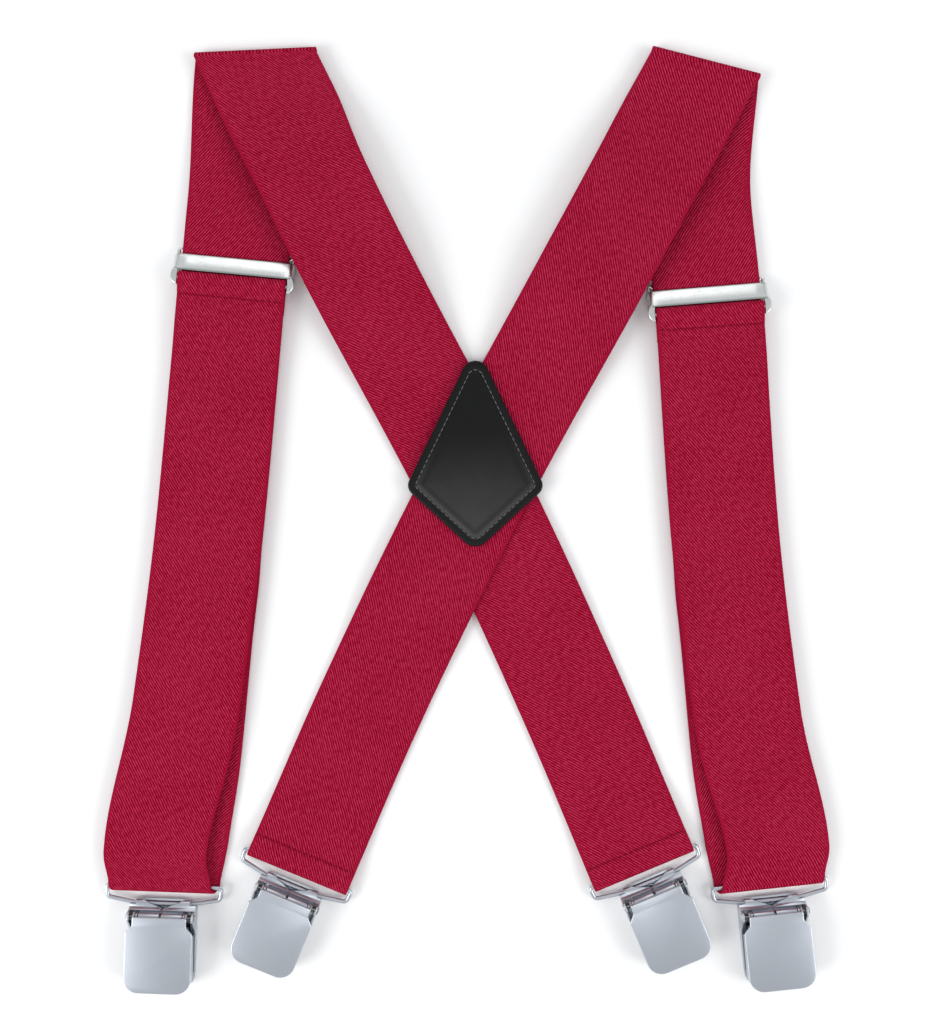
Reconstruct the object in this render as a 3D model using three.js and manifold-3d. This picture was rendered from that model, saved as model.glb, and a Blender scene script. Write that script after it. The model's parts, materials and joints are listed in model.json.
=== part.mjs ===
// X-back suspenders laid flat, front up: two elastic straps that cross under a leather patch,
// two slide adjusters and four clips. Millimetres, +Z up, +Y towards the shoulders.
import * as THREE from 'three';
import { mergeVertices } from 'three/addons/utils/BufferGeometryUtils.js';
import Module from 'manifold-3d';

const wasm = await Module();
wasm.setup();

// Clearance between pieces that lie against each other.
const GAP = 0.3;

// Webbing.
const STRAP_WIDTH = 50;
const STRAP_THICK = 1.3;
const FOLD_RADIUS = 1.8;
const SLIDE_TRAVEL = 100;
const HEM_TAB = 13;
const HEM_STITCH = 9;
const BACK_TAB = 14;
const LOOP_LEG = 12;

// How the webbing lies: the free width left between the four straps at their clips, and the length
// from the shoulder folds down to the front clips.
const STRAP_SPREAD = 82;
const LAY_WIDTH = STRAP_SPREAD + 4 * STRAP_WIDTH;
const LAY_LENGTH = 387;

// Each side's two routes from the shoulder fold to the clip are points in plan, counted from the
// crossing, in shares of the lay's width and length. With them go the angle and the width of the
// fold, how far below it the slide is set, and the angle of the clip at each end.
const SIDES = [
  {
    name: 'left',
    front: [
      [-0.3624, 0.5238],
      [-0.3858, 0.3496],
      [-0.4014, 0.2282],
      [-0.4401, -0.0724],
      [-0.4848, -0.3127],
      [-0.5099, -0.43],
      [-0.5135, -0.4773],
    ],
    back: [
      [-0.3624, 0.5238],
      [-0.2092, 0.2884],
      [0, 0],
      [0.161, -0.2525],
      [0.2773, -0.4532],
    ],
    foldAngle: 2.7,
    foldWidth: 57,
    slideFromFold: 100,
    frontClipAngle: -2.2,
    backClipAngle: 22.6,
  },
  {
    name: 'right',
    front: [
      [0.3812, 0.5119],
      [0.3667, 0.3755],
      [0.3837, 0.2333],
      [0.4135, -0.0724],
      [0.4557, -0.3127],
      [0.4828, -0.43],
      [0.4865, -0.4734],
    ],
    back: [
      [0.3812, 0.5119],
      [0.1897, 0.254],
      [0, 0],
      [-0.1688, -0.2525],
      [-0.2915, -0.4574],
    ],
    foldAngle: -14.5,
    foldWidth: 52,
    slideFromFold: 108.6,
    frontClipAngle: 6.1,
    backClipAngle: -22.3,
  },
];

// Leather patches over and under the crossing.
const PATCH_AT = [0.2, 1.8];
const PATCH_UP = 58.3;
const PATCH_DOWN = 28.2;
const PATCH_HALF = 31;
const PATCH_FRONT_THICK = 2.2;
const PATCH_BACK_THICK = 1;

// Slide adjuster.
const SLIDE_WIRE = 1.8;
const SLIDE_UPPER = 6.2;
const SLIDE_LOWER = 7.1;
const SLIDE_SIDE_GAP = 0.85;
const FRONT_BAR_HEIGHT = 8;
const FRONT_BAR_SHEET = 0.9;
const FRONT_BAR_LIFT = 2.05;

// Clip.
const WIRE = 2;
const SHEET = 0.9;
const BAIL_DROP = 8.2;
const BAIL_SIDE_GAP = 0.75;
const BAIL_RISE = 2.5;
const YOKE_WIDTH = 25;
const LEVER_WIDTH = 31;
const LEVER_LENGTH = 35;
const LEVER_NECK = 4;
const LEVER_CORNER = 7;
const LEVER_TOP_Z = 10.5;
const LEVER_RIM = 2.6;
const PIN_FROM_BAIL = 4.6;
const PIN_Z = 7.5;
const PIN_DIAMETER = 1.6;
const LUG_RADIUS = 1.9;
const PAD_THICK = 1.5;
const PAD_LENGTH = 24;
const MOUTH = 0.4;
const JAW_SHEET = 0.8;

// Heights of the layers, each worked out from what it rests on.
const LOW = GAP + STRAP_THICK / 2;
const LAYER = STRAP_THICK + GAP;
const LOOP_RADIUS = WIRE / 2 + GAP + STRAP_THICK / 2;
const BAIL_TOP_Z = LOW + LOOP_RADIUS;
const RETURN_Z = LOW + 2 * LOOP_RADIUS;
const UPPER_BAR_Z = GAP + SLIDE_WIRE / 2;
const PASS_Z = UPPER_BAR_Z + SLIDE_WIRE / 2 + GAP + STRAP_THICK / 2;
const TAB_Z = PASS_Z + LAYER;
const HEM_RADIUS = SLIDE_WIRE / 2 + GAP + STRAP_THICK / 2;
const LOWER_BAR_Z = TAB_Z + HEM_RADIUS;
const HEM_Z = TAB_Z + 2 * HEM_RADIUS;
const FOLD_TOP_Z = LOW + 2 * FOLD_RADIUS;
const CROSS_Z = { left: PATCH_BACK_THICK + LOW, right: PATCH_BACK_THICK + LOW + LAYER };
const PATCH_FRONT_Z = CROSS_Z.right + STRAP_THICK / 2 + GAP;
const OVER_SLIDE_Z = HEM_Z + LAYER;
const ROLL_Z = SHEET + GAP + WIRE / 2;
const PIN_Y = -BAIL_DROP - PIN_FROM_BAIL;
const LEVER_Y = PIN_Y + 0.6;

const COLOURS = {
  webbing: { color: 0xa51a3c, roughness: 0.8, metalness: 0 },
  leather: { color: 0x161414, roughness: 0.45, metalness: 0 },
  nickel: { color: 0xb4bac4, roughness: 0.3, metalness: 1 },
  steel: { color: 0xc9d1d0, roughness: 0.2, metalness: 1 },
  rubber: { color: 0x222222, roughness: 0.9, metalness: 0 },
};

const group = new THREE.Group();

function addPiece(name, geometry, finish, parent = group) {
  const mesh = new THREE.Mesh(geometry, new THREE.MeshStandardMaterial(COLOURS[finish]));
  mesh.name = name;
  parent.add(mesh);
  return mesh;
}

// ---------------------------------------------------------------------------
// Solids: joining, cutting and extruding
// ---------------------------------------------------------------------------

function solid(geometry) {
  const bare = geometry.clone();
  bare.deleteAttribute('normal');
  bare.deleteAttribute('uv');
  const merged = mergeVertices(bare, 1e-4);
  return new wasm.Manifold(new wasm.Mesh({
    numProp: 3,
    vertProperties: new Float32Array(merged.attributes.position.array),
    triVerts: new Uint32Array(merged.index.array),
  }));
}

function geometryOf(body) {
  const mesh = body.getMesh();
  const geometry = new THREE.BufferGeometry();
  geometry.setAttribute('position', new THREE.BufferAttribute(mesh.vertProperties, 3));
  geometry.setIndex(new THREE.BufferAttribute(mesh.triVerts, 1));
  return geometry;
}

// An outline in plan, raised from z to z + height.
function plate(outline, z, height, divisions = 5) {
  const options = { depth: height, bevelEnabled: false, curveSegments: divisions };
  return new THREE.ExtrudeGeometry(outline, options).translate(0, 0, z);
}

// An outline in side view (y, z), extruded from x to x + width.
function sideView(outline, x, width, divisions = 5) {
  const options = { depth: width, bevelEnabled: false, curveSegments: divisions };
  const geometry = new THREE.ExtrudeGeometry(outline, options);
  const axes = new THREE.Matrix4().makeBasis(
    new THREE.Vector3(0, 1, 0),
    new THREE.Vector3(0, 0, 1),
    new THREE.Vector3(1, 0, 0),
  );
  return geometry.applyMatrix4(axes).translate(x, 0, 0);
}

function polygon(points) {
  return new THREE.Shape(points.map(([x, y]) => new THREE.Vector2(x, y)));
}

// A closed outline through corner points, each corner rounded by its own radius [x, y, radius].
function rounded(corners) {
  const shape = new THREE.Shape();
  corners.forEach(([x, y, radius], i) => {
    const corner = new THREE.Vector2(x, y);
    const before = new THREE.Vector2(...corners.at(i - 1).slice(0, 2));
    const after = new THREE.Vector2(...corners[(i + 1) % corners.length].slice(0, 2));
    const inward = before.sub(corner).normalize();
    const outward = after.sub(corner).normalize();
    const half = Math.acos(inward.dot(outward)) / 2;
    const reach = radius / Math.tan(half);
    const start = corner.clone().addScaledVector(inward, reach);
    const end = corner.clone().addScaledVector(outward, reach);
    if (i === 0) {
      shape.moveTo(start.x, start.y);
    } else {
      shape.lineTo(start.x, start.y);
    }
    shape.quadraticCurveTo(x, y, end.x, end.y);
  });
  shape.closePath();
  return shape;
}

// A round wire bent into a closed loop through corner points [x, y, z], each rounded by a radius.
function wireLoop(corners, radius, diameter, sides = 8, perCorner = 4) {
  const path = new THREE.CurvePath();
  const arcs = corners.map((point, i) => {
    const corner = new THREE.Vector3(...point);
    const inward = new THREE.Vector3(...corners.at(i - 1)).sub(corner).normalize();
    const outward = new THREE.Vector3(...corners[(i + 1) % corners.length]).sub(corner).normalize();
    const reach = radius[i] / Math.tan(inward.angleTo(outward) / 2);
    return new THREE.QuadraticBezierCurve3(
      corner.clone().addScaledVector(inward, reach),
      corner,
      corner.clone().addScaledVector(outward, reach),
    );
  });
  for (const arc of arcs) {
    path.add(arc);
  }
  const centres = arcs.flatMap((arc) => arc.getPoints(perCorner));
  const count = centres.length;
  const normal = new THREE.Vector3()
    .subVectors(centres[count >> 1], centres[0])
    .cross(new THREE.Vector3().subVectors(centres[count >> 2], centres[0]))
    .normalize();
  const ring = new THREE.TorusGeometry(diameter, diameter / 2, sides, count);
  const place = ring.attributes.position;
  for (let k = 0; k < place.count; k += 1) {
    const vertex = new THREE.Vector3().fromBufferAttribute(place, k);
    const turn = Math.atan2(vertex.y, vertex.x) / (2 * Math.PI);
    const i = (Math.round(turn * count) + count) % count;
    const ahead = centres[(i + 1) % count].clone().sub(centres[i]).normalize();
    const behind = centres[i].clone().sub(centres[(i + count - 1) % count]).normalize();
    const along = ahead.clone().add(behind).normalize();
    const outward = along.clone().cross(normal);
    const miter = 1 / Math.sqrt((1 + ahead.dot(behind)) / 2);
    const out = (Math.hypot(vertex.x, vertex.y) - diameter) * miter;
    const lift = vertex.z;
    vertex.copy(centres[i]).addScaledVector(outward, out).addScaledVector(normal, lift);
    place.setXYZ(k, vertex.x, vertex.y, vertex.z);
  }
  return ring;
}

// Turns a closed geometry's faces outward, whichever way its path ran.
function facingOut(geometry) {
  const body = mergeVertices(geometry.deleteAttribute('normal').deleteAttribute('uv'), 1e-4);
  const place = body.attributes.position;
  const index = body.index.array;
  let volume = 0;
  const [a, b, c] = [new THREE.Vector3(), new THREE.Vector3(), new THREE.Vector3()];
  for (let k = 0; k < index.length; k += 3) {
    a.fromBufferAttribute(place, index[k]);
    b.fromBufferAttribute(place, index[k + 1]);
    c.fromBufferAttribute(place, index[k + 2]);
    volume += a.dot(b.cross(c));
  }
  if (volume < 0) {
    for (let k = 0; k < index.length; k += 3) {
      [index[k], index[k + 1]] = [index[k + 1], index[k]];
    }
  }
  return body;
}

// ---------------------------------------------------------------------------
// Webbing: a flat bar bent through stations, each a centre and half the width across it
// ---------------------------------------------------------------------------

const radians = THREE.MathUtils.degToRad;
const direction = (angle) => new THREE.Vector3(Math.cos(angle), Math.sin(angle), 0);

const laid = ([x, y]) => new THREE.Vector3(x * LAY_WIDTH, y * LAY_LENGTH, 0);

// A route in plan, with the angle of the line across it at each distance from the fold.
function makeRoute(points, side, clipAngle) {
  const curve = new THREE.CatmullRomCurve3(points.map(laid));
  curve.arcLengthDivisions = 800;
  const length = curve.getLength();
  const at = (distance) => curve.getPointAt(THREE.MathUtils.clamp(distance / length, 0, 1));
  const squareAt = (distance) => {
    const along = curve.getTangentAt(THREE.MathUtils.clamp(distance / length, 0, 1));
    return Math.atan2(along.x, -along.y);
  };
  const acrossAt = (distance) => {
    const square = squareAt(distance);
    const fromFold = THREE.MathUtils.smoothstep(distance, 0, 1.4 * STRAP_WIDTH);
    const fromClip = THREE.MathUtils.smoothstep(length - distance, 0, STRAP_WIDTH);
    let angle = THREE.MathUtils.lerp(radians(side.foldAngle), square, fromFold);
    angle = THREE.MathUtils.lerp(radians(clipAngle), angle, fromClip);
    const straight = STRAP_WIDTH / 2 / Math.cos((angle - square) * fromClip);
    return direction(angle).multiplyScalar(
      THREE.MathUtils.lerp(side.foldWidth / 2, straight, fromFold),
    );
  };
  return { length, at, squareAt, acrossAt };
}

// The distance from the fold at which the back strap's edge leaves the slide on the front strap.
function partingOf(front, back) {
  const apart = ARM_X + SLIDE_WIRE + STRAP_WIDTH / 2;
  let distance = 0;
  while (distance < back.length && back.at(distance).distanceTo(front.at(distance)) < apart) {
    distance += 1;
  }
  return distance;
}

// The height at a distance, easing from each [distance, height] level to the next.
function heightAt(levels, distance) {
  const next = levels.findIndex(([end]) => distance <= end);
  if (next <= 0) {
    return next === 0 ? levels[0][1] : levels.at(-1)[1];
  }
  const [[d0, z0], [d1, z1]] = [levels[next - 1], levels[next]];
  return THREE.MathUtils.lerp(z0, z1, THREE.MathUtils.smoothstep(distance, d0, d1));
}

// Stations of a stretch that lies along a route, from one distance to another.
function lay(route, from, to, levels) {
  const steps = Math.max(1, Math.round(Math.abs(to - from) / 9));
  return Array.from({ length: steps + 1 }, (_, i) => {
    const distance = THREE.MathUtils.lerp(from, to, i / steps);
    const centre = route.at(distance).setZ(heightAt(levels, distance));
    return { centre, across: route.acrossAt(distance) };
  });
}

// Stations of a half turn round a bar, between its two flat legs. rising starts underneath.
function wrap(centre, across, outward, radius, rising) {
  const steps = 8;
  return Array.from({ length: steps - 1 }, (_, i) => {
    const turn = Math.PI * (i + 1) / steps;
    const height = -Math.cos(turn) * radius * (rising ? 1 : -1);
    const spot = centre.clone().addScaledVector(outward, Math.sin(turn) * radius);
    spot.z += height;
    return { centre: spot, across };
  });
}

function webbing(name, stations) {
  const last = stations.length - 1;
  const bar = new THREE.BoxGeometry(2, last, STRAP_THICK, 1, last, 1);
  const place = bar.attributes.position;
  for (let k = 0; k < place.count; k += 1) {
    const i = Math.round(place.getY(k) + last / 2);
    const { centre, across } = stations[i];
    const ahead = stations[Math.min(i + 1, last)].centre.clone().sub(centre).normalize();
    const behind = centre.clone().sub(stations[Math.max(i - 1, 0)].centre).normalize();
    const up = across.clone().cross(ahead.add(behind)).normalize();
    const spot = centre.clone().addScaledVector(across, place.getX(k)).addScaledVector(up, place.getZ(k));
    place.setXYZ(k, spot.x, spot.y, spot.z);
  }
  addPiece(name, facingOut(bar), 'webbing');
}

// ---------------------------------------------------------------------------
// Clip, drawn with its bail's top bar at the origin and its lever pointing down -Y
// ---------------------------------------------------------------------------

const BAIL_HALF = STRAP_WIDTH / 2 + BAIL_SIDE_GAP + WIRE / 2;
const NECK_HALF = YOKE_WIDTH / 2;
const LEVER_HALF = LEVER_WIDTH / 2;
const LEVER_END = LEVER_Y - LEVER_LENGTH;
const EAR_OUT = LEVER_HALF - 0.2;

function makeBail() {
  const low = BAIL_DROP - BAIL_RISE;
  const corners = [
    [BAIL_HALF, 0, BAIL_TOP_Z],
    [-BAIL_HALF, 0, BAIL_TOP_Z],
    [-BAIL_HALF + 0.4, -low, ROLL_Z + 0.2],
    [-NECK_HALF - 0.5, -BAIL_DROP, ROLL_Z],
    [NECK_HALF + 0.5, -BAIL_DROP, ROLL_Z],
    [BAIL_HALF - 0.4, -low, ROLL_Z + 0.2],
  ];
  return facingOut(wireLoop(corners, [1.9, 1.9, 2.6, 1, 1, 2.6], WIRE));
}

// Plan of the lever and of the back plate under it: a neck that flares to the full width.
function leverOutline(inset, top) {
  const neck = NECK_HALF - inset;
  const half = LEVER_HALF - inset;
  const end = LEVER_END + inset;
  return rounded([
    [-neck, top, 0.6],
    [-neck, LEVER_Y - LEVER_NECK, 1.2],
    [-half, LEVER_Y - LEVER_NECK - 3.3, 1.8],
    [-half, end, LEVER_CORNER - inset],
    [half, end, LEVER_CORNER - inset],
    [half, LEVER_Y - LEVER_NECK - 3.3, 1.8],
    [neck, LEVER_Y - LEVER_NECK, 1.2],
    [neck, top, 0.6],
  ]);
}

function disc(radius) {
  return new THREE.Shape().absarc(PIN_Y, PIN_Z, radius, 0, 2 * Math.PI);
}

const pinHole = () => solid(sideView(disc(PIN_DIAMETER / 2 + GAP), -LEVER_WIDTH, 2 * LEVER_WIDTH, 8));

function makeBody() {
  const back = plate(leverOutline(0, -BAIL_DROP), 0, SHEET);
  const outer = new THREE.Shape().absarc(-BAIL_DROP, ROLL_Z, WIRE / 2 + GAP + SHEET, 0, 2 * Math.PI);
  outer.holes.push(new THREE.Path().absarc(-BAIL_DROP, ROLL_Z, WIRE / 2 + GAP, 0, 2 * Math.PI));
  const roll = sideView(outer, -NECK_HALF, YOKE_WIDTH, 8);
  const flapTop = ROLL_Z + WIRE / 2 + GAP + SHEET;
  const flap = sideView(polygon([
    [-BAIL_DROP, flapTop],
    [-BAIL_DROP, flapTop - SHEET],
    [-BAIL_DROP - 1.6, flapTop - SHEET],
    [PIN_Y + 2.2, PIN_Z - 2.4],
    [PIN_Y + 2.6, PIN_Z - 1.2],
    [-BAIL_DROP - 1.1, flapTop],
  ]), -EAR_OUT, 2 * EAR_OUT);
  let body = solid(back).add(solid(roll)).add(solid(flap));
  const ear = rounded([
    [-BAIL_DROP - 1.7, 0, 0.2],
    [-BAIL_DROP - 1.7, flapTop, 0.6],
    [PIN_Y + LUG_RADIUS, PIN_Z + LUG_RADIUS - 0.4, 1.4],
    [PIN_Y - LUG_RADIUS, PIN_Z + LUG_RADIUS - 0.4, 1.4],
    [LEVER_Y - LEVER_NECK - 4.2, PIN_Z - 4.2, 1.5],
    [LEVER_END + LEVER_CORNER, SHEET + 0.6, 0.4],
    [LEVER_END + LEVER_CORNER, 0, 0.2],
  ]);
  for (const x of [-EAR_OUT, EAR_OUT - SHEET]) {
    body = body.add(solid(sideView(ear, x, SHEET)));
  }
  const window = polygon([
    [-NECK_HALF + 1, -BAIL_DROP + 2.6],
    [-0.5, -BAIL_DROP - 1.7],
    [-0.5, PIN_Y + 1.5],
    [0.5, PIN_Y + 1.5],
    [0.5, -BAIL_DROP - 1.7],
    [NECK_HALF - 1, -BAIL_DROP + 2.6],
  ]);
  body = body.subtract(solid(plate(window, ROLL_Z, PIN_Z)));
  return geometryOf(body.subtract(pinHole()));
}

function makeLever() {
  const bottom = LEVER_TOP_Z - SHEET;
  let lever = solid(plate(leverOutline(0, LEVER_Y), bottom, SHEET));
  const rimOutline = leverOutline(0, LEVER_Y);
  rimOutline.holes.push(new THREE.Path(leverOutline(SHEET, LEVER_Y - 1).getPoints(5)));
  const keep = polygon([
    [-LEVER_WIDTH, LEVER_Y - LEVER_NECK - 4.5],
    [-LEVER_WIDTH, LEVER_END - 1],
    [LEVER_WIDTH, LEVER_END - 1],
    [LEVER_WIDTH, LEVER_Y - LEVER_NECK - 4.5],
  ]);
  const rim = solid(plate(rimOutline, bottom - LEVER_RIM, LEVER_RIM + SHEET / 2))
    .intersect(solid(plate(keep, 0, 2 * LEVER_TOP_Z)));
  lever = lever.add(rim);
  const lug = rounded([
    [PIN_Y + LUG_RADIUS, PIN_Z + 0.6, 0.9],
    [LEVER_Y, bottom + SHEET / 2, 0.2],
    [PIN_Y - LUG_RADIUS - 1, bottom + SHEET / 2, 0.1],
    [PIN_Y - LUG_RADIUS, PIN_Z - LUG_RADIUS, 1.3],
    [PIN_Y + LUG_RADIUS, PIN_Z - LUG_RADIUS, 1.3],
  ]);
  for (const x of [-NECK_HALF, NECK_HALF - SHEET]) {
    lever = lever.add(solid(sideView(lug, x, SHEET)));
  }
  return geometryOf(lever.subtract(pinHole()));
}

const PAD_Y = PIN_Y - 5;
const PAD_HALF = LEVER_HALF - SHEET - 2;
const BODY_PAD_Z = SHEET + GAP;
const JAW_PAD_Z = BODY_PAD_Z + PAD_THICK + MOUTH;
const JAW_Z = JAW_PAD_Z + PAD_THICK + GAP;

function padOutline(half, length) {
  return rounded([
    [-half, PAD_Y, 1],
    [-half, PAD_Y - length, LEVER_CORNER - 2],
    [half, PAD_Y - length, LEVER_CORNER - 2],
    [half, PAD_Y, 1],
  ]);
}

function makeJaw() {
  const half = NECK_HALF - SHEET - GAP;
  let jaw = solid(plate(padOutline(PAD_HALF, PAD_LENGTH), JAW_Z, JAW_SHEET));
  const reach = LEVER_TOP_Z - SHEET - GAP - PIN_Z - 0.05;
  const lug = rounded([
    [PIN_Y + reach, PIN_Z + reach, 0.98 * reach],
    [PIN_Y - reach, PIN_Z + reach, 0.98 * reach],
    [PAD_Y - 3, JAW_Z + JAW_SHEET / 2, 0.3],
    [PAD_Y + 0.3, JAW_Z + JAW_SHEET / 2, 0.1],
    [PIN_Y + reach, PIN_Z - LUG_RADIUS, 1.2],
  ]);
  for (const x of [-half, half - JAW_SHEET]) {
    jaw = jaw.add(solid(sideView(lug, x, JAW_SHEET)));
  }
  return geometryOf(jaw.subtract(pinHole()));
}

function makePin() {
  const shaft = PIN_DIAMETER / 2;
  const head = shaft + 0.7;
  const inner = EAR_OUT + GAP;
  const outer = inner + 0.5;
  const profile = [
    [0, -outer], [head - 0.3, -outer], [head, -inner], [shaft, -inner],
    [shaft, inner], [head, inner], [head - 0.3, outer], [0, outer],
  ].map(([x, y]) => new THREE.Vector2(x, y));
  const pin = new THREE.LatheGeometry(profile, 10).rotateZ(Math.PI / 2);
  return facingOut(pin.translate(0, PIN_Y, PIN_Z));
}

const CLIP_PIECES = {
  bail: [makeBail(), 'nickel'],
  clip_body: [makeBody(), 'nickel'],
  body_pad: [plate(padOutline(PAD_HALF, PAD_LENGTH), BODY_PAD_Z, PAD_THICK), 'rubber'],
  jaw_pad: [plate(padOutline(PAD_HALF - 0.5, PAD_LENGTH - 1), JAW_PAD_Z, PAD_THICK), 'rubber'],
  jaw: [makeJaw(), 'nickel'],
  lever: [makeLever(), 'nickel'],
  pivot_pin: [makePin(), 'steel'],
};

function addClip(name, place, angle) {
  const clip = new THREE.Group();
  clip.position.copy(place);
  clip.rotation.z = radians(angle);
  for (const [piece, [geometry, finish]] of Object.entries(CLIP_PIECES)) {
    addPiece(`${name}_${piece}`, geometry.clone(), finish, clip);
  }
  group.add(clip);
}

// ---------------------------------------------------------------------------
// Slide adjuster: the wire frame tilts so that the webbing passes between its two bars
// ---------------------------------------------------------------------------

const ARM_X = STRAP_WIDTH / 2 + SLIDE_SIDE_GAP + SLIDE_WIRE / 2;

function makeSlideFrame() {
  const corners = [
    [ARM_X, SLIDE_UPPER, UPPER_BAR_Z],
    [-ARM_X, SLIDE_UPPER, UPPER_BAR_Z],
    [-ARM_X, -SLIDE_LOWER, LOWER_BAR_Z],
    [ARM_X, -SLIDE_LOWER, LOWER_BAR_Z],
  ];
  return facingOut(wireLoop(corners, [1.6, 1.6, 1.6, 1.6], SLIDE_WIRE));
}

// The front bar's section, a strip whose two ends hook round the frame's arms.
function makeFrontBar() {
  const wall = ARM_X + SLIDE_WIRE / 2 + GAP;
  const out = wall + 0.6;
  const lip = SLIDE_WIRE / 2 + GAP;
  const top = FRONT_BAR_LIFT + FRONT_BAR_SHEET;
  const half = [
    [out, top, 1.1],
    [out, -lip - 0.6, 0.6],
    [ARM_X - 0.6, -lip - 0.6, 0.1],
    [ARM_X - 0.6, -lip, 0.1],
    [wall, -lip, 0.5],
    [wall, FRONT_BAR_LIFT, 0.5],
  ];
  const mirrored = half.map(([x, y, radius]) => [-x, y, radius]).reverse();
  const section = rounded([...half, ...mirrored]);
  const options = { depth: FRONT_BAR_HEIGHT, bevelEnabled: false, curveSegments: 3 };
  const bar = new THREE.ExtrudeGeometry(section, options);
  bar.rotateX(Math.PI / 2).translate(0, FRONT_BAR_HEIGHT / 2, 0);
  const tilt = Math.atan2(LOWER_BAR_Z - UPPER_BAR_Z, SLIDE_UPPER + SLIDE_LOWER);
  const share = SLIDE_LOWER / (SLIDE_UPPER + SLIDE_LOWER);
  return bar.rotateX(-tilt).translate(0, 0, THREE.MathUtils.lerp(LOWER_BAR_Z, UPPER_BAR_Z, share));
}

// ---------------------------------------------------------------------------
// The two sides
// ---------------------------------------------------------------------------

for (const side of SIDES) {
  const front = makeRoute(side.front, side, side.frontClipAngle);
  const back = makeRoute(side.back, side, side.backClipAngle);
  const { slideFromFold } = side;
  const fold = laid(side.front[0]).setZ(LOW + FOLD_RADIUS);
  const foldAcross = direction(radians(side.foldAngle)).multiplyScalar(side.foldWidth / 2);
  const foldOut = direction(radians(side.foldAngle + 90));
  const clipEnd = (route, angle) => ({
    place: route.at(route.length),
    bar: route.at(route.length).setZ(BAIL_TOP_Z),
    across: direction(radians(angle)).multiplyScalar(STRAP_WIDTH / 2),
    out: direction(radians(angle - 90)),
  });
  const frontEnd = clipEnd(front, side.frontClipAngle);
  const backEnd = clipEnd(back, side.backClipAngle);

  // The slide stands square to the webbing; its lower bar holds the hem.
  const slideAngle = front.squareAt(slideFromFold);
  const slideOut = direction(slideAngle + Math.PI / 2);
  const slideAt = front.at(slideFromFold);
  const hemAt = slideFromFold + SLIDE_LOWER;
  const strapStart = slideFromFold - SLIDE_UPPER - SLIDE_WIRE - LAYER;

  // Levels of the layers along the front and the back routes. The back strap stays above the slide
  // until the two straps part.
  const crossing = laid(side.back[2]).distanceTo(back.at(0));
  const partAt = partingOf(front, back);
  const passLevels = [
    [0.3 * STRAP_WIDTH, LOW],
    [slideFromFold - 0.4 * STRAP_WIDTH, PASS_Z],
    [hemAt + SLIDE_TRAVEL + HEM_TAB, PASS_Z],
    [front.length - LOOP_LEG, LOW],
  ];
  const hemTop = [
    [hemAt, HEM_Z],
    [hemAt + HEM_STITCH, TAB_Z + LAYER],
    [hemAt + HEM_TAB + 3, TAB_Z + LAYER],
    [hemAt + HEM_TAB + 30, RETURN_Z],
  ];
  const backLevels = [
    [0.2 * STRAP_WIDTH, FOLD_TOP_Z],
    [0.7 * slideFromFold, OVER_SLIDE_Z],
    [partAt, OVER_SLIDE_Z],
    [crossing - 1.05 * STRAP_WIDTH, CROSS_Z[side.name]],
    [crossing + 1.05 * STRAP_WIDTH, CROSS_Z[side.name]],
    [crossing + 1.9 * STRAP_WIDTH, LOW + GAP],
    [back.length - 2 * BACK_TAB - 10, LOW + GAP],
    [back.length - BACK_TAB - 2, LOW + LAYER],
    [back.length - LOOP_RADIUS - 1, RETURN_Z],
  ];

  webbing(`${side.name}_shoulder_strap`, [
    ...lay(front, strapStart, 0, passLevels),
    ...wrap(fold, foldAcross, foldOut, FOLD_RADIUS, true),
    ...lay(back, 0, back.length, backLevels),
    ...wrap(backEnd.bar, backEnd.across, backEnd.out, LOOP_RADIUS, false),
    ...lay(back, back.length, back.length - BACK_TAB, [[0, LOW]]),
  ]);
  webbing(`${side.name}_front_strap`, lay(
    front,
    strapStart + GAP,
    front.length - LOOP_LEG - GAP,
    passLevels,
  ));
  webbing(`${side.name}_front_loop`, [
    ...lay(front, front.length - LOOP_LEG, front.length, [[0, LOW]]),
    ...wrap(frontEnd.bar, frontEnd.across, frontEnd.out, LOOP_RADIUS, true),
    ...lay(front, front.length, front.length - LOOP_LEG, [[0, RETURN_Z]]),
  ]);
  webbing(`${side.name}_return_strap`, lay(
    front,
    front.length - LOOP_LEG - GAP,
    hemAt + HEM_TAB + 3 + GAP,
    hemTop,
  ));
  const bar = slideAt.clone().addScaledVector(slideOut, -SLIDE_LOWER).setZ(LOWER_BAR_Z);
  const hemAcross = direction(slideAngle).multiplyScalar(STRAP_WIDTH / 2);
  webbing(`${side.name}_hem`, [
    ...lay(front, hemAt + HEM_TAB + 3, hemAt, hemTop),
    ...wrap(bar, hemAcross, slideOut, HEM_RADIUS, false),
    ...lay(front, hemAt, hemAt + HEM_TAB, [[0, TAB_Z]]),
  ]);

  const slide = new THREE.Group();
  slide.position.copy(slideAt);
  slide.rotation.z = slideAngle;
  addPiece(`${side.name}_slide_frame`, makeSlideFrame(), 'steel', slide);
  addPiece(`${side.name}_slide_bar`, makeFrontBar(), 'steel', slide);
  group.add(slide);

  addClip(`${side.name}_front`, frontEnd.place, side.frontClipAngle);
  addClip(`${side.name}_back`, backEnd.place, side.backClipAngle);
}

// ---------------------------------------------------------------------------
// Leather patches: one kite outline above the crossing and one below
// ---------------------------------------------------------------------------

const [patchX, patchY] = PATCH_AT;
const kite = rounded([
  [patchX, patchY + PATCH_UP + 8, 8.6],
  [patchX - PATCH_HALF - 1.4, patchY - 0.9, 6.2],
  [patchX, patchY - PATCH_DOWN - 2.4, 7.8],
  [patchX + PATCH_HALF + 1.4, patchY - 0.9, 6.2],
]);
addPiece('patch_front', plate(kite, PATCH_FRONT_Z, PATCH_FRONT_THICK), 'leather');
addPiece('patch_back', plate(kite, 0, PATCH_BACK_THICK), 'leather');

// The origin is the middle of the base.
group.updateMatrixWorld(true);
const box = new THREE.Box3().setFromObject(group, true);
group.position.set(-(box.min.x + box.max.x) / 2, -(box.min.y + box.max.y) / 2, -box.min.z);

export default group;
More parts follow.
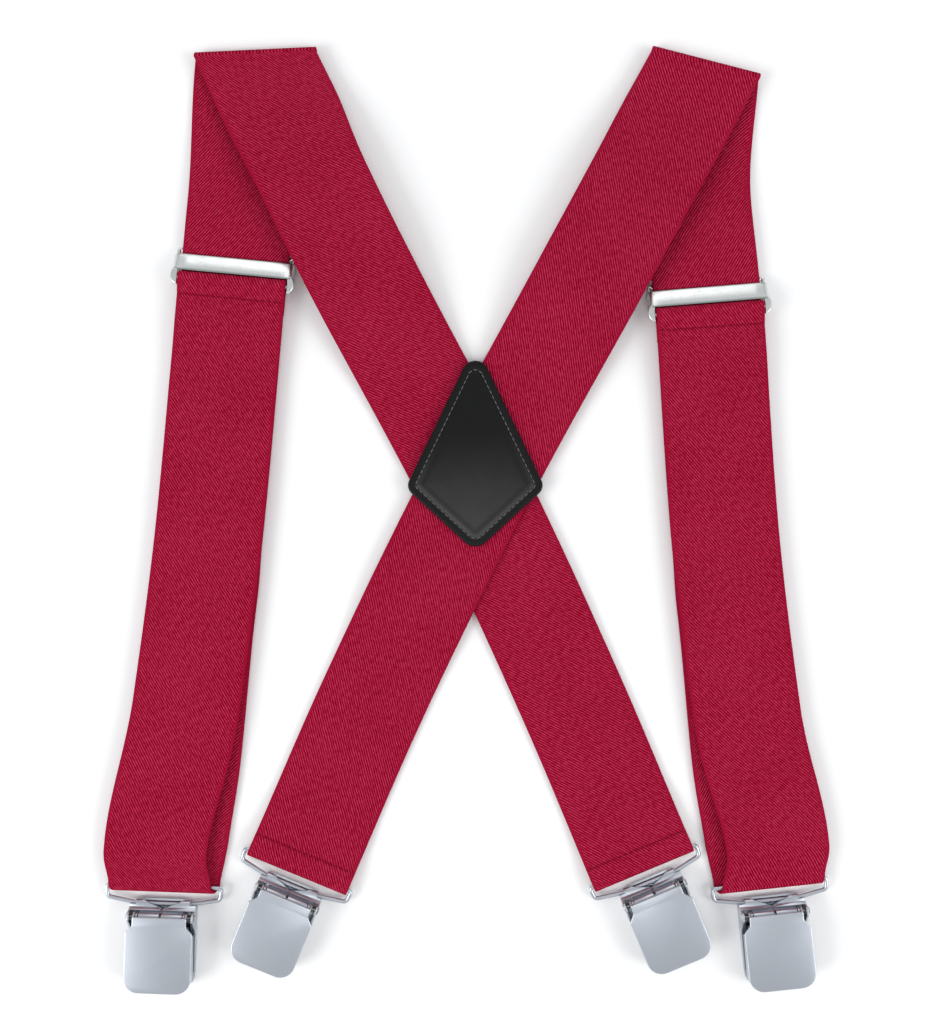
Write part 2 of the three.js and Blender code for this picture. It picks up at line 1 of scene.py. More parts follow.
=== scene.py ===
# Suspenders laid flat, front up: two elastic straps crossed under a leather patch, two slide
# adjusters and four clips. Pieces are drawn in millimetres and settled in metres.
import json
import math

import bmesh
import bpy
import numpy as np
from mathutils import Matrix, Vector


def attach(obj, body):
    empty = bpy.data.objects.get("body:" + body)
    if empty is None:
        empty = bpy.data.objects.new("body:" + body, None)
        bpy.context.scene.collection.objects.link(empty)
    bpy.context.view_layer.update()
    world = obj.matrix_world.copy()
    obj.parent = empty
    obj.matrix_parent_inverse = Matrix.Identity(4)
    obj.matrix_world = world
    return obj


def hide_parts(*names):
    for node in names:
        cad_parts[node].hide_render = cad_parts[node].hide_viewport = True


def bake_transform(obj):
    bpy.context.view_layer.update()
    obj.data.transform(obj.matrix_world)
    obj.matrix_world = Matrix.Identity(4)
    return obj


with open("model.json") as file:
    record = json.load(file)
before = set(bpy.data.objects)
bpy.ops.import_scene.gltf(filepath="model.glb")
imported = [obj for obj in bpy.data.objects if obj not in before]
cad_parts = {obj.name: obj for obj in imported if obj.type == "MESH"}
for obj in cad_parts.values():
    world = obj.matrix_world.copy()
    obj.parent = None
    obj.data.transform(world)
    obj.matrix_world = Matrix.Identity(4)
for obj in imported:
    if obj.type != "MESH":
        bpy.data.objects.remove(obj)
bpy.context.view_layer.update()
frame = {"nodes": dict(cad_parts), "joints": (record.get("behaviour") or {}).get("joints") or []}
bpy.ops.object.select_all(action="DESELECT")

# ---------------------------------------------------------------------------------------------
# Webbing. Each side is one length of 50 mm twill elastic, woven with a plain selvage on both
# edges. It runs from the back clip over the shoulder and down through the slide, round the front
# clip's bail and back up, and is shown in three stretches that meet end to end.
# ---------------------------------------------------------------------------------------------
LAY_WIDTH, LAY_LENGTH = 282.0, 387.0
WIDTH, THICK, EDGE = 50.0, 1.3, 0.6
STATION = 3.0  # between one cross-section of the webbing and the next
FOLD_RADIUS, LOOP_RADIUS, HEM_RADIUS, HEM_REACH = 1.8, 1.95, 1.85, 1.4
# Heights of the middle of the cloth in each layer, and of the wires that it passes.
LOW, PASSING, TAB, RETURN, HEM_TOP = 0.95, 3.05, 4.65, 4.85, 8.35
FOLD_TOP, OVER_SLIDE, LAYER = 4.55, 9.95, 1.6
BAIL_Z, LOWER_WIRE_Z = 2.9, 6.5
# Lengths along the cloth: the sewn ends, and where one layer leaves another.
SLIDE_LOWER, TRAVEL, SLIDE_CLEAR = 7.1, 100.0, 20
HEM_TAB, HEM_FLAT, HEM_LEVEL, HEM_DOWN, HEM_STITCH = 13.0, 9.0, 16, 43, 7.4
BACK_TAB, BACK_STITCH, BACK_DOWN, BAIL_CLEAR, LOOP_LEG = 14.0, 8.5, 38, 2.95, 12.0
PARTED, CROSS_REACH, CROSS_DOWN = 53.55, 52.5, 95
# The two front layers stand apart sideways near the bail, and bunch up a little inside it.
INWARD, INWARD_FROM, INWARD_TO, INWARD_LOST = 2.8, 255, 345, 0.68
OUTWARD, OUTWARD_FROM, OUTWARD_LOST = 4.15, 305, 0.71
SLIP, BEHIND_SLIPS, FRONT_SLIPS = 0.35, (225, 250), (126, 158)
LOOP_WIDTH, GATHERED, SLIDE_WIDTH = 0.97, 0.955, 0.982

joints = {joint["name"]: joint for joint in frame["joints"]}
anchor = np.array(joints["left_back_bail_swing"]["pos_m"][:2]) * 1000
crossing = anchor - np.array([0.2773 * LAY_WIDTH, -0.4532 * LAY_LENGTH])
SIDES = {
    "left": {
        "front": [(-.3624, .5238), (-.3858, .3496), (-.4014, .2282), (-.4401, -.0724),
                  (-.4848, -.3127), (-.5099, -.43), (-.5135, -.4773)],
        "back": [(-.3624, .5238), (-.2092, .2884), (0, 0), (.161, -.2525), (.2773, -.4532)],
        "fold": (2.7, 57.0), "clips": (-2.2, 22.6), "cross": 1.95, "inner": 1, "slide": 100.0,
    },
    "right": {
        "front": [(.3812, .5119), (.3667, .3755), (.3837, .2333), (.4135, -.0724),
                  (.4557, -.3127), (.4828, -.43), (.4865, -.4734)],
        "back": [(.3812, .5119), (.1897, .254), (0, 0), (-.1688, -.2525), (-.2915, -.4574)],
        "fold": (-14.5, 52.0), "clips": (6.1, -22.3), "cross": 3.55, "inner": -1, "slide": 108.6,
    },
}


def ease(value, low, high):
    share = min(max((value - low) / (high - low), 0.0), 1.0)
    return share * share * (3 - 2 * share)


class Route:
    """A strap's way in plan from the shoulder fold to its clip, measured along its length."""

    def __init__(self, shares, fold, clip_angle):
        self.fold, self.clip_angle = fold, clip_angle
        points = [crossing + np.array([x * LAY_WIDTH, y * LAY_LENGTH]) for x, y in shares]
        ends = [2 * points[0] - points[1], *points, 2 * points[-1] - points[-2]]
        spots = []
        for a, b, c, d in zip(ends, ends[1:], ends[2:], ends[3:]):
            before, between, after = (math.sqrt(np.linalg.norm(q - p))
                                      for p, q in ((a, b), (b, c), (c, d)))
            leave = ((b - a) / before - (c - a) / (before + between)) * between + (c - b)
            arrive = (c - b) + ((d - c) / after - (d - b) / (between + after)) * between
            for t in np.arange(0, 1, 0.005):
                spots.append(b + leave * t + (3 * (c - b) - 2 * leave - arrive) * t ** 2
                             + (2 * (b - c) + leave + arrive) * t ** 3)
        self.spots = np.array([*spots, points[-1]])
        steps = np.linalg.norm(np.diff(self.spots, axis=0), axis=1)
        self.distances = np.concatenate([[0], np.cumsum(steps)])
        self.length = self.distances[-1]

    def at(self, distance):
        return np.array([np.interp(distance, self.distances, axis) for axis in self.spots.T])

    def square(self, distance):
        near = min(max(distance, 0.5), self.length - 0.5)
        along = self.at(near + 0.5) - self.at(near - 0.5)
        return math.atan2(along[0], -along[1])

    def across(self, distance):
        square = self.square(distance)
        from_fold = ease(distance, 0, 1.4 * WIDTH)
        from_clip = ease(self.length - distance, 0, WIDTH)
        angle = math.radians(self.fold[0]) * (1 - from_fold) + square * from_fold
        angle = math.radians(self.clip_angle) * (1 - from_clip) + angle * from_clip
        straight = WIDTH / 2 / math.cos((angle - square) * from_clip)
        half = self.fold[1] / 2 * (1 - from_fold) + straight * from_fold
        return half * np.array([math.cos(angle), math.sin(angle), 0])


def height_at(levels, distance):
    for (d0, z0), (d1, z1) in zip(levels, levels[1:]):
        if distance <= d1:
            return z0 + (z1 - z0) * ease(distance, d0, d1)
    return levels[-1][1]


def lay(route, start, end, levels, sign, fine=(), drift=None, bunch=None):
    """Stations along a route. A station is its centre, half the width across, and its place in the
    woven length; fine gives distances round which the stations lie closer."""
    count = max(2, round(abs(end - start) / STATION))
    marks = set(np.linspace(start, end, count + 1))
    for spot in fine:
        marks |= {spot + step for step in (-1.2, -0.6, -0.3, 0, 0.3, 0.6, 1.2)}
    stations = []
    for distance in sorted(marks, reverse=end < start):
        across = route.across(distance)
        centre = np.append(route.at(distance), height_at(levels, distance))
        if drift:
            centre = centre + across / np.linalg.norm(across) * drift(distance)
        if bunch:
            across = across * bunch(distance)
        stations.append((centre, across, sign * distance))
    return stations


def wrap(centre, across, outward, radius, rising, start, sign,
         drifts=(0, 0), shares=(1, 1), reach=1.0):
    """Stations of a half turn round a wire or a fold, on which the cloth may slip or bunch."""
    stations, steps = [], 18
    for i in range(1, steps):
        turn, done = math.pi * i / steps, i / steps
        spot = centre + outward * math.sin(turn) * radius * reach
        spot[2] -= math.cos(turn) * radius * (1 if rising else -1)
        spot = spot + across / np.linalg.norm(across) * (drifts[0] * (1 - done) + drifts[1] * done)
        share = shares[0] * (1 - done) + shares[1] * done
        stations.append((spot, across * share, start + sign * radius * turn))
    return stations


def settle(piece, place=Matrix.Identity(4)):
    """Puts a finished piece where it belongs. Its place goes into its mesh, in metres, and its
    object stays at the origin."""
    piece.data.transform(piece.matrix_world)
    piece.matrix_world = Matrix.Identity(4)
    piece.data.transform(place @ Matrix.Scale(0.001, 4))
    piece.data.update()
    bpy.ops.object.select_all(action="DESELECT")
    return piece


def tidy_mesh(piece, reach=0.001):
    """Merges doubled points and turns every face outward."""
    bpy.ops.object.mode_set(mode="EDIT")
    bpy.ops.mesh.select_all(action="SELECT")
    bpy.ops.mesh.remove_doubles(threshold=reach)
    bpy.ops.mesh.normals_make_consistent(inside=False)
    bpy.ops.object.mode_set(mode="OBJECT")


SEAM_WIDTH, SEAM_DEPTH = 0.55, 0.16


def band(name, stations, seams=()):
    """A woven band: a grid rolled into the band's section, whose long edges are rounded."""
    flat, edge = np.linspace(-1, 1, 9), (0.9, 0.35, -0.35, -0.9)
    section = [(x, 0.0, THICK / 2) for x in flat]
    section += [(1.0, EDGE * math.cos(a), THICK / 2 * math.sin(a)) for a in edge]
    section += [(x, 0.0, -THICK / 2) for x in flat[::-1]]
    section += [(-1.0, -EDGE * math.cos(a), -THICK / 2 * math.sin(a)) for a in edge]
    section.append(section[0])
    columns, rows = len(section), len(stations)
    bpy.ops.mesh.primitive_grid_add(x_subdivisions=columns - 1, y_subdivisions=rows - 1, size=2)
    piece = bpy.context.object
    piece.name = name
    mesh = piece.data
    place = np.array([v.co for v in mesh.vertices])
    column = np.rint((place[:, 0] + 1) / 2 * (columns - 1)).astype(int)
    row = np.rint((place[:, 1] + 1) / 2 * (rows - 1)).astype(int)
    centres = np.array([station[0] for station in stations])
    ahead = np.diff(centres, axis=0)
    ahead /= np.linalg.norm(ahead, axis=1)[:, None]
    along = np.vstack([ahead[:1], ahead[1:] + ahead[:-1], ahead[-1:]])
    # The seam attribute marks the stitch rows: the cloth is sunk a little there, and the material
    # paints shade along them.
    seam = mesh.attributes.new("seam", "FLOAT", "POINT")
    spots, weave, marks = [], [], []
    for i, j in zip(row, column):
        centre, across, place_along = stations[i]
        half = np.linalg.norm(across)
        up = np.cross(across, along[i])
        up /= np.linalg.norm(up)
        share, out, rise = section[j]
        sideways = share * (half - EDGE) + out
        near = min([abs(place_along - s) for s in seams], default=9)
        mark = math.exp(-(near / SEAM_WIDTH) ** 2)
        sunk = rise - SEAM_DEPTH * mark * np.sign(rise)
        spots.append(centre + across / half * sideways + up * sunk)
        weave.append((WIDTH / 2 + share * (WIDTH / 2 - EDGE) + out, place_along))
        marks.append(mark)
    mesh.vertices.foreach_set("co", np.array(spots).ravel())
    seam.data.foreach_set("value", marks)
    layer = mesh.uv_layers[0]
    layer.name = "weave"
    for loop in mesh.loops:
        layer.data[loop.index].uv = weave[loop.vertex_index]
    tidy_mesh(piece)
    bpy.ops.object.mode_set(mode="EDIT")
    bpy.ops.mesh.select_all(action="DESELECT")
    bpy.ops.mesh.select_non_manifold()
    bpy.ops.mesh.fill_holes(sides=0)
    bpy.ops.mesh.select_all(action="SELECT")
    bpy.ops.mesh.normals_make_consistent(inside=False)
    bpy.ops.object.mode_set(mode="OBJECT")
    bpy.ops.object.shade_smooth_by_angle(angle=math.radians(50))
    return settle(piece)


class Value:
    """A number that changes over a surface. Sums on it add Math nodes."""

    def __init__(self, paint, socket):
        self.paint, self.socket = paint, socket

    def maths(self, operation, *terms):
        return self.paint.add("ShaderNodeMath", {"operation": operation}, dict(enumerate(terms)))

    def __add__(self, other):
        return self.maths("ADD", self, other)

    def __sub__(self, other):
        return self.maths("SUBTRACT", self, other)

    def __rsub__(self, other):
        return self.maths("SUBTRACT", other, self)

    def __mul__(self, other):
        return self.maths("MULTIPLY", self, other)

    def __truediv__(self, other):
        return self.maths("DIVIDE", self, other)

    def __abs__(self):
        return self.maths("ABSOLUTE", self)

    __radd__ = __add__
    __rmul__ = __mul__

    def wave(self):
        """From 0 to 1 and back, once for each whole number."""
        return self.maths("SINE", self * (2 * math.pi)) * 0.5 + 0.5

    def ramp(self, low, high):
        """0 up to low, 1 from high, and smooth between."""
        return self.paint.add(
            "ShaderNodeMapRange", {"interpolation_type": "SMOOTHSTEP"},
            {0: self, 1: low, 2: high, 3: 0.0, 4: 1.0})


class Paint:
    """A material under construction, on its one Principled shader."""

    def __init__(self, name, **fixed):
        self.material = bpy.data.materials.new(name)
        self.material.use_nodes = True
        self.tree = self.material.node_tree
        self.shader = self.tree.nodes["Principled BSDF"]
        self.give(**fixed)

    def feed(self, socket, value):
        if isinstance(value, Value):
            self.tree.links.new(value.socket, socket)
        else:
            socket.default_value = value

    def add(self, kind, settings=(), inputs=(), output=0):
        node = self.tree.nodes.new(kind)
        for name, value in dict(settings).items():
            setattr(node, name, value)
        for name, value in dict(inputs).items():
            self.feed(node.inputs[name], value)
        return Value(self, node.outputs[output])

    def give(self, **inputs):
        for name, value in inputs.items():
            self.feed(self.shader.inputs[name.replace("_", " ")], value)

    def split(self, vector):
        node = self.add("ShaderNodeSeparateXYZ", {}, {0: vector}).socket.node
        return [Value(self, socket) for socket in node.outputs]

    def join(self, x, y, z=0.0):
        return self.add("ShaderNodeCombineXYZ", {}, {0: x, 1: y, 2: z})

    def noise(self, vector, scale, detail=2.0, roughness=0.5):
        return self.add("ShaderNodeTexNoise", {}, {
            "Vector": vector, "Scale": scale, "Detail": detail, "Roughness": roughness})

    def mix(self, share, first, second):
        return self.add("ShaderNodeMix", {"data_type": "RGBA"}, {0: share, 6: first, 7: second}, 2)

    def bump(self, height, distance, strength=1.0):
        self.give(Normal=self.add("ShaderNodeBump", {}, {
            "Height": height, "Distance": distance, "Strength": strength}))


TWILL_PITCH, TWILL_ANGLE, SELVAGE = 1.08, math.radians(38), 1.5
DEEP, CRIMSON, BRIGHT = (.150, .0001, .004, 1), (.300, .0018, .025, 1), (.52, .042, .104, 1)

cloth = Paint("crimson_twill", Roughness=0.82, Sheen_Weight=0.01, Sheen_Roughness=0.45,
              Sheen_Tint=(1.0, 0.35, 0.45, 1), Specular_IOR_Level=0.02)
u, v, _ = cloth.split(cloth.add("ShaderNodeUVMap", {"uv_map": "weave"}))
rise = u * math.cos(TWILL_ANGLE) + v * math.sin(TWILL_ANGLE)
run = u * math.sin(TWILL_ANGLE) - v * math.cos(TWILL_ANGLE)
wander = cloth.noise(cloth.join(u, v), 0.16, 2.0) - 0.5
rib = (rise / TWILL_PITCH + wander * 0.35).wave()
dash = cloth.noise(cloth.join(rise * 0.9, run * 0.4), 1.0, 3.0, 0.65).ramp(0.33, 0.67)
speck = cloth.noise(cloth.join(u, v), 1.7, 2.0).ramp(0.3, 0.7)
in_from_edge = WIDTH / 2 - abs(u - WIDTH / 2)
field = in_from_edge.ramp(SELVAGE - 0.3, SELVAGE + 0.3)
cord_rib = (v / 0.9).wave()
twill = rib * 0.64 + dash * 0.26 + speck * 0.1
edging = 0.47 + cord_rib * 0.08 + speck * 0.1
tone = twill * field + edging * (1 - field)
wash = cloth.noise(cloth.join(u, v), 0.028, 3.0) - 0.5
shade = cloth.mix((tone + wash * 0.16).ramp(0.0, 0.5), DEEP, CRIMSON)
shade = cloth.mix((tone + wash * 0.16).ramp(0.45, 1.0), shade, BRIGHT)
# Painted shade: the cloth is darkened along each stitch row, where the seam attribute is high, as
# shadow in the sunk seam.
painted_seam_shade = cloth.add("ShaderNodeAttribute", {"attribute_name": "seam"}, {}, 2)
# Painted shade: the cloth is darkened along its very edges, where it rolls under.
painted_edge_shade = 1 - in_from_edge.ramp(0.15, 0.75)
shade = cloth.mix(painted_seam_shade * 0.5, shade, (.19, .002, .012, 1))
shade = cloth.mix(painted_edge_shade * 0.25, shade, (.16, .004, .016, 1))
cloth.give(Base_Color=shade)
cloth.bump(twill * field + cord_rib * 0.3 * (1 - field), 0.00022, 0.55)

routes, seam_rows = {}, []
for side, facts in SIDES.items():
    front = Route(facts["front"], facts["fold"], facts["clips"][0])
    back = Route(facts["back"], facts["fold"], facts["clips"][1])
    routes[side] = front, back
    slide_at = facts["slide"]
    hem_at = slide_at + SLIDE_LOWER
    turn = math.radians(facts["fold"][0])
    fold_across = facts["fold"][1] / 2 * np.array([math.cos(turn), math.sin(turn), 0])
    fold_out = np.array([-math.sin(turn), math.cos(turn), 0])
    fold = np.append(front.at(0), LOW + FOLD_RADIUS)
    cross_at = np.linalg.norm(back.at(0) - crossing)
    part_at = 0
    while np.linalg.norm(back.at(part_at) - front.at(part_at)) < PARTED:
        part_at += 1
    lowest = hem_at + TRAVEL + HEM_TAB
    front_end, back_end = front.length, back.length
    pass_levels = [(15, LOW), (slide_at - SLIDE_CLEAR, PASSING), (lowest, PASSING),
                   (front_end - LOOP_LEG, LOW)]
    hem_levels = [(hem_at, HEM_TOP), (hem_at + HEM_FLAT, TAB + LAYER),
                  (hem_at + HEM_LEVEL, TAB + LAYER), (hem_at + HEM_DOWN, RETURN)]
    back_levels = [(10, FOLD_TOP), (0.7 * slide_at, OVER_SLIDE), (part_at, OVER_SLIDE),
                   (cross_at - CROSS_REACH, facts["cross"]),
                   (cross_at + CROSS_REACH, facts["cross"]),
                   (cross_at + CROSS_DOWN, LOW + 0.3), (back_end - BACK_DOWN, LOW + 0.3),
                   (back_end - BACK_TAB - 2, LOW + LAYER), (back_end - BAIL_CLEAR, RETURN)]
    ends = []
    for route, angle in zip((front, back), facts["clips"]):
        angle = math.radians(angle)
        ends.append((np.append(route.at(route.length), BAIL_Z),
                     WIDTH / 2 * np.array([math.cos(angle), math.sin(angle), 0]),
                     np.array([math.sin(angle), -math.cos(angle), 0])))

    # The shoulder stretch: up from the slide, over the fold and down to the back clip's bail, where
    # the end is turned under and sewn.
    tab_start = -back_end - math.pi * LOOP_RADIUS
    stations = lay(front, slide_at, 0, pass_levels, 1)
    stations += wrap(fold, fold_across, fold_out, FOLD_RADIUS, True, 0, 0)
    stations += lay(back, 0, back_end, back_levels, -1, [back_end - BACK_STITCH])
    stations += wrap(*ends[1], LOOP_RADIUS, False, -back_end, -1)
    tab = lay(back, back_end, back_end - BACK_TAB, [(0, LOW)] * 2, -1)
    stations += [(centre, across, tab_start - (back_end + place)) for centre, across, place in tab]
    shoulder = band(f"{side}_shoulder_webbing", stations, [-(back_end - BACK_STITCH)])

    # The passing stretch, behind: it drifts a few millimetres inward on its way down, so that its
    # selvage shows beside the stretch in front.
    def drift(distance):
        out = ease(distance, INWARD_FROM, INWARD_TO) * INWARD
        out *= 1 - INWARD_LOST * ease(distance, front_end - 22, front_end)
        return facts["inner"] * (SLIP * ease(distance, *BEHIND_SLIPS) + out)

    def narrowing(distance):
        held = ease(distance, slide_at + 2, slide_at + 10) * (1 - ease(distance, *BEHIND_SLIPS))
        return 1 - (1 - SLIDE_WIDTH) * held

    passing = band(f"{side}_passing_webbing",
                   lay(front, slide_at, front_end - LOOP_LEG, pass_levels, 1,
                       drift=drift, bunch=narrowing))

    # The return stretch, in front: round the bail, up to the slide's lower wire and sewn to itself.
    turned = front_end + math.pi * LOOP_RADIUS

    def outward_drift(distance):
        out = OUTWARD * ease(distance, OUTWARD_FROM, front_end - 20)
        out *= 1 - OUTWARD_LOST * ease(distance, front_end - 15, front_end)
        return -facts["inner"] * (out + SLIP * ease(distance, *FRONT_SLIPS))

    def loop_bunching(distance):
        return 1 - (1 - LOOP_WIDTH) * ease(distance, front_end - LOOP_LEG, front_end)

    def bunching(distance):
        return 1 - (1 - GATHERED) * ease(distance, front_end - 70, front_end - 4)

    def carry_on(laid, start, first):
        return [(centre, across, start + abs(place - first)) for centre, across, place in laid]

    stations = lay(front, front_end - LOOP_LEG, front_end, [(0, LOW)] * 2, 1,
                   drift=drift, bunch=loop_bunching)
    stations += wrap(*ends[0], LOOP_RADIUS, True, front_end, 1,
                     (drift(front_end), outward_drift(front_end)), (LOOP_WIDTH, GATHERED))
    climb = [(0, HEM_TOP), *hem_levels, (front_end, RETURN)]
    stations += carry_on(lay(front, front_end, hem_at, climb, 1, [hem_at + HEM_STITCH],
                             outward_drift, bunching), turned, front_end)
    hem_start = turned + front_end - hem_at
    slide_angle = front.square(slide_at)
    slide_up = np.array([-math.sin(slide_angle), math.cos(slide_angle), 0])
    lower_wire = np.append(front.at(slide_at), LOWER_WIRE_Z) - slide_up * SLIDE_LOWER
    hem_across = WIDTH / 2 * np.array([math.cos(slide_angle), math.sin(slide_angle), 0])
    stations += wrap(lower_wire, hem_across, slide_up, HEM_RADIUS, False, hem_start, 1,
                     reach=HEM_REACH)
    tab_at = hem_start + math.pi * HEM_RADIUS
    stations += carry_on(lay(front, hem_at, hem_at + HEM_TAB, [(0, TAB)] * 2, 1), tab_at, hem_at)
    returning = band(f"{side}_return_webbing", stations, [hem_start - HEM_STITCH])

    for piece in (shoulder, passing, returning):
        piece.data.materials.append(cloth.material)
    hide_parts(f"{side}_shoulder_strap")
    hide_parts(f"{side}_front_strap")
    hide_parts(f"{side}_front_loop", f"{side}_return_strap", f"{side}_hem")
    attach(shoulder, "root")

    def spot(distance, height):
        return tuple(np.append(front.at(distance), height) / 1000)

    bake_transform(passing)
    spot(hem_at + HEM_DOWN, RETURN)
    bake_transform(returning)
    for piece, cut, held in (
            (shoulder, slide_at + back_end + math.pi * LOOP_RADIUS + BACK_TAB, "folded"),
            (passing, front_end - LOOP_LEG - slide_at, "laid"),
            (returning, LOOP_LEG + tab_at + HEM_TAB - front_end, "folded")):
        cut * 0.001
    for route, at, levels, body, name in (
            (front, hem_at + HEM_STITCH, hem_levels, f"{side}_slide", f"{side}_hem"),
            (back, back_end - BACK_STITCH, back_levels, "root", f"{side}_back")):
        seam_rows.append((route, at, height_at(levels, at), body, name))


# ---------------------------------------------------------------------------------------------
# Sewing. Each hem is held by one row of lockstitch in thread dyed to match the webbing: two short
# plies twisted together, each stitch pulled a little way into the cloth.
# ---------------------------------------------------------------------------------------------
THREAD, STITCH, STITCH_PITCH, STITCH_MARGIN = 0.55, 2.3, 2.9, 2.2

thread = Paint("crimson_thread", Roughness=0.75, Specular_IOR_Level=0.08)
thread_at = thread.split(thread.add("ShaderNodeTexCoord", {}, {}, 3))
ply = ((thread_at[0] + thread_at[1]) * 2600).wave()
fluff = thread.noise(thread.join(*thread_at), 1500.0)
thread.give(Base_Color=thread.mix(ply * 0.6 + fluff * 0.4,
                                  (.15, .0008, .007, 1), (.26, .003, .020, 1)))
thread.bump(ply, 0.00012, 0.6)

bpy.ops.mesh.primitive_uv_sphere_add(segments=10, ring_count=8, radius=THREAD / 2)
one_stitch = bpy.context.object
bpy.ops.object.mode_set(mode="EDIT")
bpy.ops.mesh.select_all(action="SELECT")
bpy.ops.transform.resize(value=(STITCH / THREAD, 1, 0.8))
bpy.ops.object.mode_set(mode="OBJECT")
for vertex in one_stitch.data.vertices:
    vertex.co.z -= 0.35 * (vertex.co.x / STITCH * 2) ** 2 * THREAD
stitch_points = np.array([vertex.co for vertex in one_stitch.data.vertices])
stitch_faces = [list(face.vertices) for face in one_stitch.data.polygons]
bpy.data.objects.remove(one_stitch)


def sew(name, places, finish):
    """A row of stitches as one piece. A place is a stitch's middle and its angle in plan."""
    points, faces = [], []
    for centre, angle in places:
        turned = stitch_points @ np.array(Matrix.Rotation(-angle, 3, "Z"))
        faces += [[corner + len(points) for corner in face] for face in stitch_faces]
        points += list(turned + centre)
    mesh = bpy.data.meshes.new(name)
    mesh.from_pydata(points, [], faces)
    row = bpy.data.objects.new(name, mesh)
    bpy.context.scene.collection.objects.link(row)
    mesh.polygons.foreach_set("use_smooth", [True] * len(faces))
    mesh.materials.append(finish)
    return settle(row)


for route, distance, height, body, name in seam_rows:
    across = route.across(distance)
    half = np.linalg.norm(across)
    angle = math.atan2(across[1], across[0])
    middle = np.append(route.at(distance), height + THICK / 2 - 0.08)
    steps = np.arange(-half + STITCH_MARGIN, half - STITCH_MARGIN, STITCH_PITCH)
    row = sew(f"{name}_stitches", [(middle + across / half * step, angle) for step in steps],
              thread.material)
    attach(row, body)

# ---------------------------------------------------------------------------------------------
# Leather patches. Two kites of black smooth leather hold the crossing between them. The front one
# has its edge turned and pressed flat inside a row of stitches, and a soft pad fills its middle.
# ---------------------------------------------------------------------------------------------
PATCH_MIDDLE = crossing + np.array([0.2, 1.8])
PATCH_UP, PATCH_DOWN, PATCH_HALF = 58.3, 28.2, 31.0
PATCH_Z, PATCH_THICK, BACKING_THICK = 4.5, 2.2, 1.0
BORDER_STITCH, BORDER_PITCH, SIDE_PARTS = 3.55, 2.7, 22


def rounded(corners, steps=7):
    """Points of a closed outline whose corners [x, y, radius] are rounded by arcs."""
    points = []
    for i, (x, y, radius) in enumerate(corners):
        corner = Vector((x, y))
        inward = (Vector(corners[i - 1][:2]) - corner).normalized()
        outward = (Vector(corners[(i + 1) % len(corners)][:2]) - corner).normalized()
        half = inward.angle(outward) / 2
        middle = corner + (inward + outward).normalized() * radius / math.sin(half)
        start = corner + inward * radius / math.tan(half) - middle
        sweep = start.angle_signed(corner + outward * radius / math.tan(half) - middle)
        for t in np.linspace(0, 1, steps):
            points.append(middle + Matrix.Rotation(-sweep * t, 2) @ start)
    return points


def plate(name, outline, low, high):
    """A flat sheet cut to an outline: a filled ring extruded to its thickness."""
    bpy.ops.mesh.primitive_circle_add(vertices=len(outline), fill_type="NGON")
    piece = bpy.context.object
    piece.name = name
    for vertex, (x, y) in zip(piece.data.vertices, outline):
        vertex.co = x, y, high
    bpy.ops.object.mode_set(mode="EDIT")
    bpy.ops.mesh.select_all(action="SELECT")
    bpy.ops.mesh.extrude_region_move(TRANSFORM_OT_translate={"value": (0, 0, low - high)})
    bpy.ops.object.mode_set(mode="OBJECT")
    tidy_mesh(piece, 1e-4)
    return piece


def select_faces(piece, test):
    """Goes into edit mode with only the faces that pass the test selected."""
    bpy.ops.object.mode_set(mode="OBJECT")
    for part in (*piece.data.vertices, *piece.data.edges):
        part.select = False
    for face in piece.data.polygons:
        face.select = bool(test(face))
    bpy.ops.object.mode_set(mode="EDIT")


def soften(piece, width, segments=3, angle=35):
    """Rounds the edges of a piece by a bevel, and shades it smooth."""
    bpy.context.view_layer.objects.active = piece
    piece.select_set(True)
    bevel = piece.modifiers.new("edges", "BEVEL")
    bevel.width, bevel.segments = width, segments
    bevel.limit_method, bevel.angle_limit = "ANGLE", math.radians(angle)
    bpy.ops.object.modifier_apply(modifier=bevel.name)
    bpy.ops.object.shade_smooth_by_angle(angle=math.radians(40))


leather = Paint("black_leather", Coat_Weight=0.06, Coat_Roughness=0.3, Specular_IOR_Level=0.2)
hide = leather.add("ShaderNodeTexCoord", {}, {}, 3)
grain = leather.add("ShaderNodeTexVoronoi", {"feature": "DISTANCE_TO_EDGE"},
                    {"Vector": hide, "Scale": 950.0, "Randomness": 1.0}).ramp(0.0, 0.32)
pores = leather.noise(hide, 2600.0, 2.0)
crease = leather.noise(hide, 60.0, 4.0, 0.6)
# Low noise that varies the roughness as wear, and breaks up the edge of the painted sheen below.
wear_and_sheen_noise = leather.noise(hide, 26.0, 3.0)
painted_sheen_mask = leather.add("ShaderNodeAttribute", {"attribute_name": "pad"}, {}, 2)
_, hide_y, _ = leather.split(hide)
# Painted sheen: the top of the front patch is painted lighter grey towards its lower point, as
# where the leather catches the light.
painted_sheen = (PATCH_MIDDLE[1] / 1000 + 0.022 - hide_y + wear_and_sheen_noise * 0.01).ramp(0.0, 0.05)
hide_colour = leather.mix(crease * 0.5 + grain * 0.3,
                          (.0018, .0019, .0020, 1), (.0055, .0055, .0055, 1))
# Base colour: the hide's grain, with the painted sheen and painted highlight mixed over it in grey.
leather.give(Base_Color=leather.mix(painted_sheen * (0.6 + crease * 0.3) * painted_sheen_mask, hide_colour,
                                    (.092, .092, .086, 1)),
             Roughness=wear_and_sheen_noise * 0.16 + crease * 0.1 + (1 - grain) * 0.1 + 0.2)
leather.bump(grain * 0.7 + pores * 0.3 + crease * 0.9, 0.00011, 0.5)

KITE = [(0, PATCH_UP + 8, 6.2), (-PATCH_HALF - 1.4, -0.9, 5), (0, -PATCH_DOWN - 2.4, 7),
        (PATCH_HALF + 1.4, -0.9, 5)]
upper_side = math.hypot(KITE[0][1] - KITE[1][1], KITE[1][0])
lower_side = math.hypot(KITE[2][1] - KITE[1][1], KITE[1][0])
heart_y = (KITE[0][1] * lower_side + KITE[2][1] * upper_side) / (upper_side + lower_side)
heart = PATCH_MIDDLE + np.array([0, heart_y])
reach_in = (KITE[0][1] - heart_y) * KITE[3][0] / upper_side


